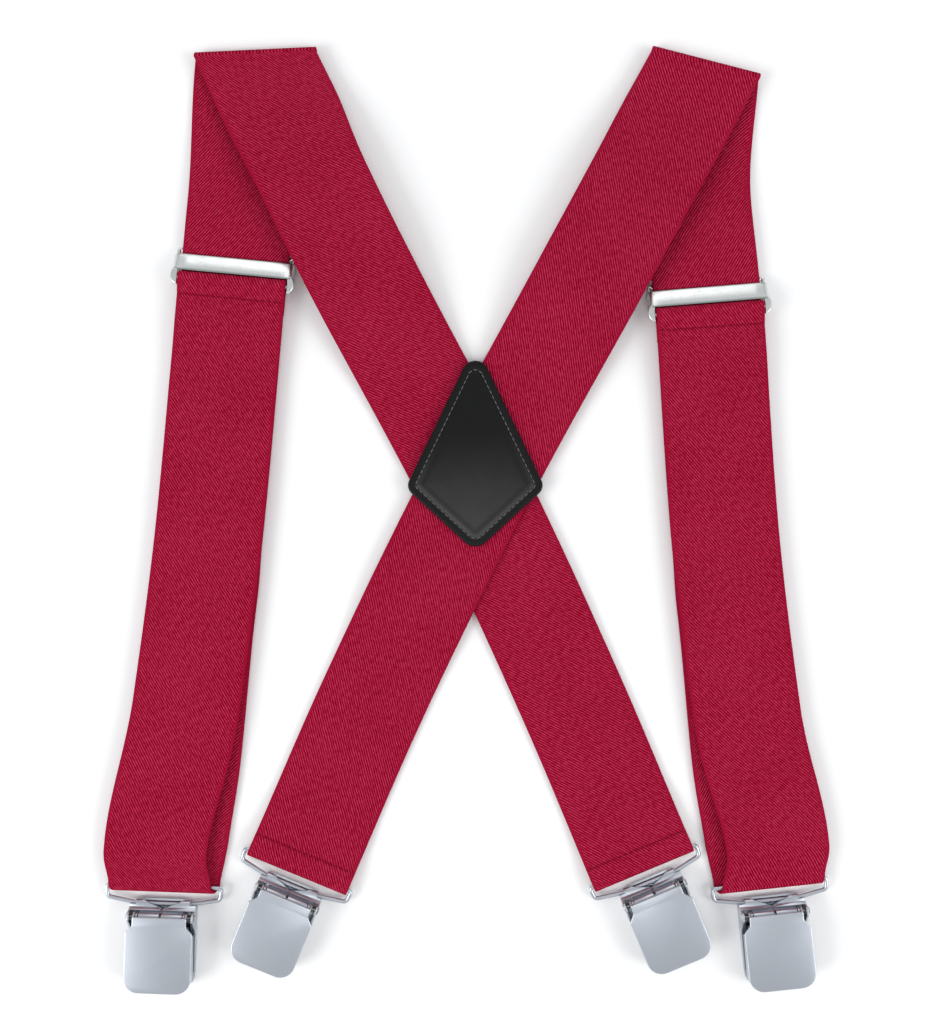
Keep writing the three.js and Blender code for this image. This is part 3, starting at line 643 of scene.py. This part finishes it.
def kite_ring(inset):
    """The kite's outline moved inward by an even distance, always with the same count of points."""
    share = 1 - inset / reach_in
    corners = []
    for x, y, radius in KITE:
        rounding = max(radius - 0.8 * inset, 1.6) * min(1, 1.6 * share)
        corners.append((heart[0] + x * share, heart[1] + (y - heart_y) * share, rounding))
    arcs = rounded(corners, 9)
    ring = []
    for i in range(4):
        arc, following = arcs[9 * i:9 * i + 9], arcs[(9 * i + 9) % 36]
        ring += arc + [arc[-1].lerp(following, k / SIDE_PARTS) for k in range(1, SIDE_PARTS)]
    return ring


def leather_kite(name, profile):
    """A patch rolled out of a grid whose rows are rings (inset, height) from back to face. Its pad
    attribute gives the painted sheen on its top, and a painted highlight line inside the border."""
    rings = [(kite_ring(inset), height) for inset, height in profile]
    columns = len(rings[0][0])
    bpy.ops.mesh.primitive_grid_add(x_subdivisions=columns, y_subdivisions=len(rings) - 1, size=2)
    piece = bpy.context.object
    piece.name = name
    pad = piece.data.attributes.new("pad", "FLOAT", "POINT")
    for vertex in piece.data.vertices:
        column = round((vertex.co.x + 1) / 2 * columns) % columns
        row = round((vertex.co.y + 1) / 2 * (len(rings) - 1))
        ring, height = rings[row]
        inset, on_top = profile[row][0], height > PATCH_Z + PATCH_THICK - 1
        # Painted highlight: a bright line just inside the stitched border, where the pad rises from
        # the pressed edge; painted sheen grows toward the middle.
        painted_edge_highlight = 0.8 * math.exp(-(inset - 4.4) ** 2)
        pad.data[vertex.index].value = on_top * (0.5 * ease(inset, 4.2, 9) + painted_edge_highlight)
        vertex.co = (*ring[column], height)
    tidy_mesh(piece)
    bpy.ops.object.shade_smooth_by_angle(angle=math.radians(70))
    return settle(piece)


heart_inset = reach_in * 0.999
top = PATCH_Z + PATCH_THICK
front_patch = leather_kite("front_patch", [
    (heart_inset, PATCH_Z), (12, PATCH_Z), (0.6, PATCH_Z), (0.15, PATCH_Z + 0.15),
    (0, PATCH_Z + 0.5), (0.05, top - 1.2), (0.3, top - 0.92), (0.8, top - 0.8),
    (1.6, top - 0.78), (2.7, top - 0.82), (3.2, top - 0.95), (BORDER_STITCH, top - 1.02),
    (3.9, top - 0.95), (4.4, top - 0.7), (5.2, top - 0.35), (6.5, top - 0.02), (8.5, top + 0.28),
    (11, top + 0.56), (14, top + 0.8), (18, top + 1), (22, top + 1.08), (heart_inset, top + 1.1)])
back_patch = leather_kite("back_patch", [
    (heart_inset, 0), (14, 0), (0.5, 0), (0.12, 0.1), (0, 0.35), (0.05, 0.75), (0.3, 0.95),
    (0.7, BACKING_THICK), (14, BACKING_THICK), (heart_inset, BACKING_THICK)])

line = []
stitch_ring = kite_ring(BORDER_STITCH)
travelled, due = 0.0, 1.0
for start, end in zip(stitch_ring, stitch_ring[1:] + stitch_ring[:1]):
    step = (end - start).length
    while due <= travelled + step:
        middle = start.lerp(end, (due - travelled) / step)
        angle = math.atan2(end.y - start.y, end.x - start.x)
        line.append((np.array([*middle, PATCH_Z + PATCH_THICK - 0.72]), angle))
        due += BORDER_PITCH
    travelled += step
# Black thread twisted of two plies: the dark ply colour is the thread's own, and the lighter ply
# colour is a painted highlight on each twist.
black_thread = Paint("black_thread", Roughness=0.5, Specular_IOR_Level=0.4)
twist = black_thread.split(black_thread.add("ShaderNodeTexCoord", {}, {}, 3))
black_thread.give(Base_Color=black_thread.mix(
    ((twist[0] + twist[1]) * 2600).wave(), (.035, .036, .038, 1), (.16, .165, .17, 1)))
patch_stitches = sew("patch_stitches", line, black_thread.material)
for piece in (front_patch, back_patch, patch_stitches):
    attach(piece, "root")
for piece in (front_patch, back_patch):
    piece.data.materials.append(leather.material)
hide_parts("patch_front")
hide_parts("patch_back")

# ---------------------------------------------------------------------------------------------
# Slide adjusters. Each is a frame of bright steel wire bowed out at its lower corners, with a
# pressed, slightly domed front bar whose two ends are curled round the frame's arms.
# ---------------------------------------------------------------------------------------------
WIRE, ARM = 1.8, 26.75
UPPER, KNOB_Y, LOWER_Y, UPPER_Z = 6.2, 8.6, -7.1, 1.2
LOBE_X, LOBE_Y, LOBE_OUT, LOBE_HALF = 25.35, -6.1, 3.3, 4.3
BAR_HEIGHT, BAR_SHEET, BAR_LIFT, BAR_DOWN, BAR_CROWN = 8.6, 0.9, 2.2, 0.5, 0.5

steel = Paint("bright_steel", Metallic=1.0)
where = steel.add("ShaderNodeTexCoord", {}, {}, 3)
clouds = steel.noise(where, 160.0, 4.0, 0.65)
pits = steel.noise(where, 1400.0, 2.0).ramp(0.62, 0.74)
# Painted shade: the front bar is painted dark grey-green toward its top and bottom edges, where it
# curls away from the light.
painted_rim_shade = steel.add("ShaderNodeAttribute", {"attribute_name": "rim"}, {}, 2).ramp(0.7, 0.98)
plating = steel.mix(clouds * 0.7 + pits * 0.5, (.86, .88, .87, 1), (.60, .63, .61, 1))
steel.give(Base_Color=steel.mix(painted_rim_shade * 0.75, plating, (.22, .26, .24, 1)),
           Roughness=clouds * 0.16 + pits * 0.2 + 0.22)
steel.bump(clouds * 0.5 - pits, 0.00006, 0.4)


def bend_wire(name, corners, diameter):
    """A closed ring of round wire bent through corner points (x, y, z, radius)."""
    bpy.ops.curve.primitive_bezier_circle_add()
    piece = bpy.context.object
    piece.name = name
    curve = piece.data
    curve.splines.clear()
    points = []
    for i, (x, y, z, radius) in enumerate(corners):
        corner = Vector((x, y, z))
        inward = (Vector(corners[i - 1][:3]) - corner).normalized()
        outward = (Vector(corners[(i + 1) % len(corners)][:3]) - corner).normalized()
        reach = radius / math.tan(max(inward.angle(outward), 0.2) / 2)
        start, end = corner + inward * reach, corner + outward * reach
        for t in np.linspace(0, 1, 8):
            points.append(start * (1 - t) ** 2 + corner * 2 * t * (1 - t) + end * t ** 2)
    spline = curve.splines.new("POLY")
    spline.points.add(len(points) - 1)
    for target, point in zip(spline.points, points):
        target.co = (*point, 1)
    spline.use_cyclic_u = True
    curve.dimensions = "3D"
    curve.bevel_depth, curve.bevel_resolution = diameter / 2, 7
    bpy.ops.object.convert(target="MESH")
    piece = bpy.context.object
    tidy_mesh(piece, 1e-4)
    bpy.ops.object.shade_smooth()
    return piece


def place_of(origin, across):
    """The matrix that stands a piece drawn round its own origin in its place, in metres."""
    side_axis = Vector((across[0], across[1], 0)).normalized()
    up_axis = Vector((-side_axis.y, side_axis.x, 0))
    turn = Matrix((side_axis, up_axis, Vector((0, 0, 1)))).transposed()
    return Matrix.Translation((origin[0] / 1000, origin[1] / 1000, 0)) @ turn.to_4x4()


def merge_into(piece, *others):
    """Joins the shells of one part into one object."""
    bpy.ops.object.select_all(action="DESELECT")
    for each in (piece, *others):
        each.select_set(True)
    bpy.context.view_layer.objects.active = piece
    bpy.ops.object.join()
    return piece


tilt = math.atan2(LOWER_WIRE_Z - UPPER_Z, UPPER - LOWER_Y)


def arm_z(y):
    return UPPER_Z + (UPPER - y) * math.tan(tilt)


frame_corners = []
for way in (1, -1):
    half = [(ARM - 1.6, UPPER, UPPER_Z, 0.8), (ARM + 0.5, KNOB_Y, UPPER_Z, 1.3),
            (ARM, 3, arm_z(3), 1.5), (ARM, LOWER_Y, LOWER_WIRE_Z, 1.5)]
    frame_corners += [(way * x, y, z, radius) for x, y, z, radius in half[::-way]]
lobe_outline = [Vector((LOBE_X, LOBE_Y + LOBE_HALF))]
for k in range(1, 16):
    turn = math.pi * k / 16
    lobe_outline.append(Vector((LOBE_X + LOBE_OUT * math.sin(turn),
                                LOBE_Y + LOBE_HALF * math.cos(turn))))
lobe_outline.append(Vector((LOBE_X, LOBE_Y - LOBE_HALF)))
for side in SIDES:
    route = routes[side][0]
    slide_at = SIDES[side]["slide"]
    origin, heading = route.at(slide_at), route.square(slide_at)
    stand = place_of(origin, (math.cos(heading), math.sin(heading)))
    slide_frame = bend_wire(f"{side}_slide_wire", frame_corners, WIRE)
    lobes = []
    for way in (1, -1):
        lobe = plate("lobe", [Vector((way * p.x, p.y)) for p in lobe_outline], LOWER_WIRE_Z - 0.75,
                     LOWER_WIRE_Z + 1.05)
        soften(lobe, 0.6, 4)
        lobes.append(lobe)
    slide_frame = settle(merge_into(slide_frame, *lobes), stand)

    columns, rows = 61, 13
    bpy.ops.mesh.primitive_grid_add(x_subdivisions=columns - 1, y_subdivisions=rows - 1, size=2)
    bar = bpy.context.object
    bar.name = f"{side}_slide_front"
    curl = WIRE / 2 + 0.3 + BAR_SHEET / 2
    straight = ARM - 0.6
    # The rim attribute grows toward the bar's top and bottom edges, where the steel paints shade.
    rim = bar.data.attributes.new("rim", "FLOAT", "POINT")
    for vertex in bar.data.vertices:
        rim.data[vertex.index].value = abs(vertex.co.y)
        share, y = vertex.co.x, vertex.co.y
        run = abs(share) * (straight + curl * math.radians(200))
        crown = BAR_CROWN * (1 - y * y)
        if run <= straight:
            x, z = run, BAR_LIFT + crown * min(1, (straight - run) / 4)
            half = BAR_HEIGHT / 2
        else:
            turn = (run - straight) / curl
            x, z = straight + curl * math.sin(turn), BAR_LIFT * math.cos(turn)
            half = BAR_HEIGHT / 2 * (1 - 0.5 * ease(turn, 0.3, 2))
        vertex.co = (math.copysign(x, share), y * half - BAR_DOWN, z)
    for modifier, settings in (("SOLIDIFY", {"thickness": BAR_SHEET, "offset": 0}),
                               ("BEVEL", {"width": 0.28, "segments": 3,
                                          "angle_limit": math.radians(50)})):
        made = bar.modifiers.new(modifier.lower(), modifier)
        for name, value in settings.items():
            setattr(made, name, value)
        bpy.ops.object.modifier_apply(modifier=made.name)
    bpy.ops.object.shade_smooth_by_angle(angle=math.radians(40))
    lean = Matrix.Translation((0, 0, arm_z(0) / 1000)) @ Matrix.Rotation(-tilt, 4, "X")
    settle(bar, stand @ lean)
    for piece, node in ((slide_frame, "slide_frame"), (bar, "slide_bar")):
        piece.data.materials.append(steel.material)
        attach(piece, f"{side}_slide")
        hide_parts(f"{side}_{node}")

# ---------------------------------------------------------------------------------------------
# Clips. Four alike, in satin nickel-plated steel: a wire bail, a body whose yoke is rolled round
# the bail, a toothless jaw under a broad lever, ribbed rubber pads, and a rivet through all of it.
# Each is drawn with the bail's top bar at the origin and its lever pointing down -Y.
# ---------------------------------------------------------------------------------------------
CLIP_WIRE, SHEET = 2.0, 0.9
BAIL_HALF, BAIL_DROP, ROLL_Z = 26.75, 8.2, 2.2
PIN_Y, PIN_Z, EAR_OUT = -12.8, 7.5, 15.3
NECK, LEVER_HALF, LEVER_Y, LEVER_END, LEVER_TOP = 12.5, 15.5, -12.2, -47.2, 10.5
LEVER_NECK, LEVER_STEP, LEVER_CORNER, LEVER_RIM, RIM_TAPER = 4.0, 3.3, 7.0, 2.6, 2.2
PAD_Y, PAD_HALF, PAD_LENGTH, RIBS, RIB_PITCH = -17.8, 12.6, 24.0, 9, 2.1
KNUCKLE, KNUCKLE_END, KNUCKLE_SLIT = 1.75, 10.1, 0.5

nickel = Paint("satin_nickel", Metallic=1.0)
place = nickel.add("ShaderNodeTexCoord", {}, {}, 3)
haze = nickel.noise(place, 55.0, 4.0, 0.6)
drawn_out = nickel.add("ShaderNodeMapping", {}, {"Vector": place, "Scale": (1, 7, 1)})
brushed = nickel.noise(drawn_out, 900.0, 3.0)
spots = nickel.noise(place, 620.0, 1.0).ramp(0.73, 0.78)
nickel.give(Base_Color=nickel.mix(haze * 0.8 + spots * 0.3,
                                  (.60, .63, .685, 1), (.475, .51, .565, 1)),
            Roughness=haze * 0.14 + brushed * 0.08 + spots * 0.1 + 0.24)
nickel.bump(brushed * 0.25 + haze * 0.5 - spots * 0.6, 0.00005, 0.35)
rubber = Paint("black_rubber", Roughness=0.85, Specular_IOR_Level=0.3)
chalk = rubber.noise(rubber.add("ShaderNodeTexCoord", {}, {}, 3), 500.0, 4.0)
rubber.give(Base_Color=rubber.mix(chalk, (.010, .010, .011, 1), (.032, .032, .034, 1)))
rubber.bump(chalk, 0.00008, 0.5)


def lever_outline(inset):
    """The lever's outline in plan: a narrow neck at the rivet and a broad, rounded paddle."""
    neck, half, end = NECK - inset, LEVER_HALF - inset, LEVER_END + inset
    neck_end, corner = LEVER_Y - LEVER_NECK, LEVER_CORNER - inset
    return rounded([(-neck, LEVER_Y, 0.6), (-neck, neck_end, 1.2),
                    (-half, neck_end - LEVER_STEP, 1.8), (-half, end, corner),
                    (half, end, corner), (half, neck_end - LEVER_STEP, 1.8),
                    (neck, neck_end, 1.2), (neck, LEVER_Y, 0.6)], 9)


def cheek(name, outline, x, width):
    """A side plate: an outline in side view (y, z), standing across the clip."""
    piece = plate(name, outline, x, x + width)
    piece.data.transform(Matrix(((0, 0, 1, 0), (1, 0, 0, 0), (0, 1, 0, 0), (0, 0, 0, 1))))
    return piece


def from_cad(node, name, width):
    """A pressed part whose shape comes from its CAD node, with its sharp edges eased."""
    bpy.ops.object.select_all(action="DESELECT")
    piece = bpy.data.objects.new(name, frame["nodes"][node].data.copy())
    bpy.context.scene.collection.objects.link(piece)
    piece.data.materials.clear()
    piece.select_set(True)
    bpy.context.view_layer.objects.active = piece
    bpy.ops.object.mode_set(mode="EDIT")
    bpy.ops.mesh.select_all(action="SELECT")
    bpy.ops.mesh.remove_doubles(threshold=1e-6)
    bpy.ops.mesh.dissolve_limited(angle_limit=math.radians(4))
    bpy.ops.object.mode_set(mode="OBJECT")
    soften(piece, width, 2, 38)
    bpy.ops.object.select_all(action="DESELECT")
    return piece


for clip in ("left_front", "left_back", "right_front", "right_back"):
    hinge = joints[f"{clip}_bail_swing"]
    stand = place_of(np.array(hinge["pos_m"][:2]) * 1000, (-hinge["axis"][0], -hinge["axis"][1]))

    low = BAIL_DROP - 2.5
    bail = bend_wire(f"{clip}_bail_wire", [
        (BAIL_HALF, 0, BAIL_Z, 1.9), (-BAIL_HALF, 0, BAIL_Z, 1.9),
        (-BAIL_HALF + 0.4, -low, ROLL_Z + 0.2, 2.4), (-NECK - 0.5, -BAIL_DROP, ROLL_Z, 1),
        (NECK + 0.5, -BAIL_DROP, ROLL_Z, 1), (BAIL_HALF - 0.4, -low, ROLL_Z + 0.2, 2.4)], CLIP_WIRE)

    lever = plate(f"{clip}_lever_plate", lever_outline(0), LEVER_TOP - SHEET, LEVER_TOP)
    soften(lever, 0.4, 4)
    shoulder_y = LEVER_Y - LEVER_NECK - 4.5
    skirt_line = [p for p in lever_outline(0.02) if p.y < shoulder_y]
    inner_line = [p for p in lever_outline(SHEET) if p.y < shoulder_y]
    skirt = plate("skirt", [Vector((-LEVER_HALF + .02, shoulder_y)), *skirt_line,
                            Vector((LEVER_HALF - .02, shoulder_y)),
                            Vector((LEVER_HALF - SHEET, shoulder_y)), *inner_line[::-1],
                            Vector((-LEVER_HALF + SHEET, shoulder_y))],
                  LEVER_TOP - SHEET - LEVER_RIM, LEVER_TOP - SHEET / 2)
    for vertex in skirt.data.vertices:
        if vertex.co.z < LEVER_TOP - 2 * SHEET:
            vertex.co.z -= RIM_TAPER * (shoulder_y - vertex.co.y) / (shoulder_y - LEVER_END)
    soften(skirt, 0.15, 2)
    lug = rounded([(PIN_Y + 1.9, PIN_Z + 0.6, 0.9), (LEVER_Y, LEVER_TOP - 0.45, 0.2),
                   (PIN_Y - 2.9, LEVER_TOP - 0.45, 0.1), (PIN_Y - 1.9, PIN_Z - 1.9, 1.3),
                   (PIN_Y + 1.9, PIN_Z - 1.9, 1.3)], 5)
    lugs = [cheek("lug", lug, x, SHEET) for x in (-NECK, NECK - SHEET)]
    lever = merge_into(lever, skirt, *lugs)

    bpy.ops.mesh.primitive_cylinder_add(vertices=24, radius=0.8, depth=2 * EAR_OUT + 0.3,
                                        location=(0, PIN_Y, PIN_Z), rotation=(0, math.pi / 2, 0))
    rivet = bpy.context.object
    rivet.name = f"{clip}_rivet"
    select_faces(rivet, lambda face: abs(face.normal.z) > 0.9)
    bpy.ops.mesh.inset(thickness=0.02)
    for lift, grow in ((0.0, 1.9), (0.3, 1.0), (0.2, 0.72), (0.08, 0.5)):
        bpy.ops.object.mode_set(mode="OBJECT")
        chosen = [face.index for face in rivet.data.polygons if face.select]
        mesh = bmesh.new()
        mesh.from_mesh(rivet.data)
        mesh.faces.ensure_lookup_table()
        ends_of = [mesh.faces[i] for i in chosen]
        grown = bmesh.ops.extrude_discrete_faces(mesh, faces=ends_of)["faces"]
        for face in grown:
            out = math.copysign(lift, face.calc_center_median().z)
            for vertex in face.verts:
                x, y, z = vertex.co
                vertex.co = x * grow, y * grow, z + out
        for face in mesh.faces:
            face.select = face in grown
        mesh.to_mesh(rivet.data)
        mesh.free()
        bpy.ops.object.mode_set(mode="EDIT")
    bpy.ops.object.mode_set(mode="OBJECT")
    bpy.ops.object.shade_smooth_by_angle(angle=math.radians(45))

    pads = []
    for name, low_z, half, length, facing_up in (
            (f"{clip}_body_grip", 1.2, PAD_HALF, PAD_LENGTH, True),
            (f"{clip}_jaw_grip", 3.1, PAD_HALF - .5, PAD_LENGTH - 1, False)):
        base = (low_z, low_z + 1.0) if facing_up else (low_z + 0.5, low_z + 1.5)
        tip = low_z + 1.48 if facing_up else low_z + 0.02
        root_z = low_z + 0.8 if facing_up else low_z + 0.7
        pad = plate(name, rounded([(-half, PAD_Y, 1), (-half, PAD_Y - length, 5),
                                   (half, PAD_Y - length, 5), (half, PAD_Y, 1)]), *base)
        soften(pad, 0.15, 2)
        ribs = []
        for k in range(RIBS):
            y = PAD_Y - 1.6 - k * RIB_PITCH
            ridge = rounded([(y - 0.8, root_z, 0.02), (y - 0.25, tip, 0.15), (y + 0.25, tip, 0.15),
                             (y + 0.8, root_z, 0.02)], 3)
            ribs.append(cheek("rib", ridge, -half + 1.2, 2 * half - 2.4))
        pads.append(merge_into(pad, *ribs))

    knuckles = []
    round_pin = [Vector((PIN_Y + KNUCKLE * math.cos(a), PIN_Z + KNUCKLE * math.sin(a)))
                 for a in np.linspace(0, 2 * math.pi, 24, endpoint=False)]
    for x in (-KNUCKLE_END, KNUCKLE_SLIT):
        knuckle = cheek("knuckle", round_pin, x, KNUCKLE_END - KNUCKLE_SLIT)
        soften(knuckle, 0.2, 2)
        knuckles.append(knuckle)
    web_side = [(-BAIL_DROP - 1.9, 3.9), (-BAIL_DROP - 2.3, 4.9), (PIN_Y + 1.35, 7.0),
                (PIN_Y + 0.4, 6.4), (PIN_Y + 1.2, 5.4)]
    web = cheek("web", [Vector(p) for p in web_side], -KNUCKLE_END, 2 * KNUCKLE_END)
    knuckles.append(web)
    hinge_barrel = merge_into(*knuckles)
    for piece in (bail, lever, rivet, hinge_barrel, *pads):
        settle(piece, stand)
    body = from_cad(f"{clip}_clip_body", f"{clip}_body_plate", 0.00012)
    body = merge_into(body, hinge_barrel)
    jaw = from_cad(f"{clip}_jaw", f"{clip}_jaw_plate", 0.0001)
    for piece, node, finish, carrier in (
            (bail, "bail", nickel, "bail"), (lever, "lever", nickel, "lever"),
            (rivet, "pivot_pin", steel, "clip"), (pads[0], "body_pad", rubber, "clip"),
            (pads[1], "jaw_pad", rubber, "jaw"), (body, "clip_body", nickel, "clip"),
            (jaw, "jaw", nickel, "jaw")):
        piece.data.materials.append(finish.material)
        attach(piece, f"{clip}_{carrier}")
        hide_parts(f"{clip}_{node}")

# ---------------------------------------------------------------------------------------------
# Studio: a pale sweep under the braces, soft light from all round, and the camera straight above.
# ---------------------------------------------------------------------------------------------
bpy.ops.mesh.primitive_plane_add(size=6, location=(0, 0, -0.0004))
floor = bpy.context.object
floor.name = "floor"
card = Paint("pale_card", Roughness=0.9, Specular_IOR_Level=0.1)
fibre = card.noise(card.add("ShaderNodeTexCoord", {}, {}, 3), 3.0, 3.0)
card.give(Base_Color=card.mix(fibre, (.985, .985, .985, 1), (.995, .995, .995, 1)))
floor.data.materials.append(card.material)

world = bpy.data.worlds.new("studio")
bpy.context.scene.world = world
world.use_nodes = True
world.node_tree.nodes["Background"].inputs["Color"].default_value = (0.96, 0.98, 1.0, 1)
world.node_tree.nodes["Background"].inputs["Strength"].default_value = 0.6
for name, place, power, size in (
        ("key", (-1.6, -0.7, 1.1), 20, 1.0), ("fill", (1.6, -0.5, 1.1), 14, 1.0),
        ("far", (0, 1.9, 0.9), 5, 1.2), ("near", (0, -0.32, 1.0), 0.6, 0.25)):
    light = bpy.data.lights.new(name, "AREA")
    light.energy, light.size = power, size
    lamp = bpy.data.objects.new(name, light)
    lamp.location = place
    lamp.rotation_euler = (-Vector(place)).to_track_quat("-Z", "Y").to_euler()
    bpy.context.scene.collection.objects.link(lamp)

lens = bpy.data.cameras.new("camera")
lens.sensor_fit, lens.sensor_height, lens.lens = "VERTICAL", 36, 39.3
camera = bpy.data.objects.new("camera", lens)
camera.location = (-0.00083, 0.00231, 0.524)
bpy.context.scene.collection.objects.link(camera)
bpy.context.scene.camera = camera
bpy.context.scene.view_settings.view_transform = "Standard"
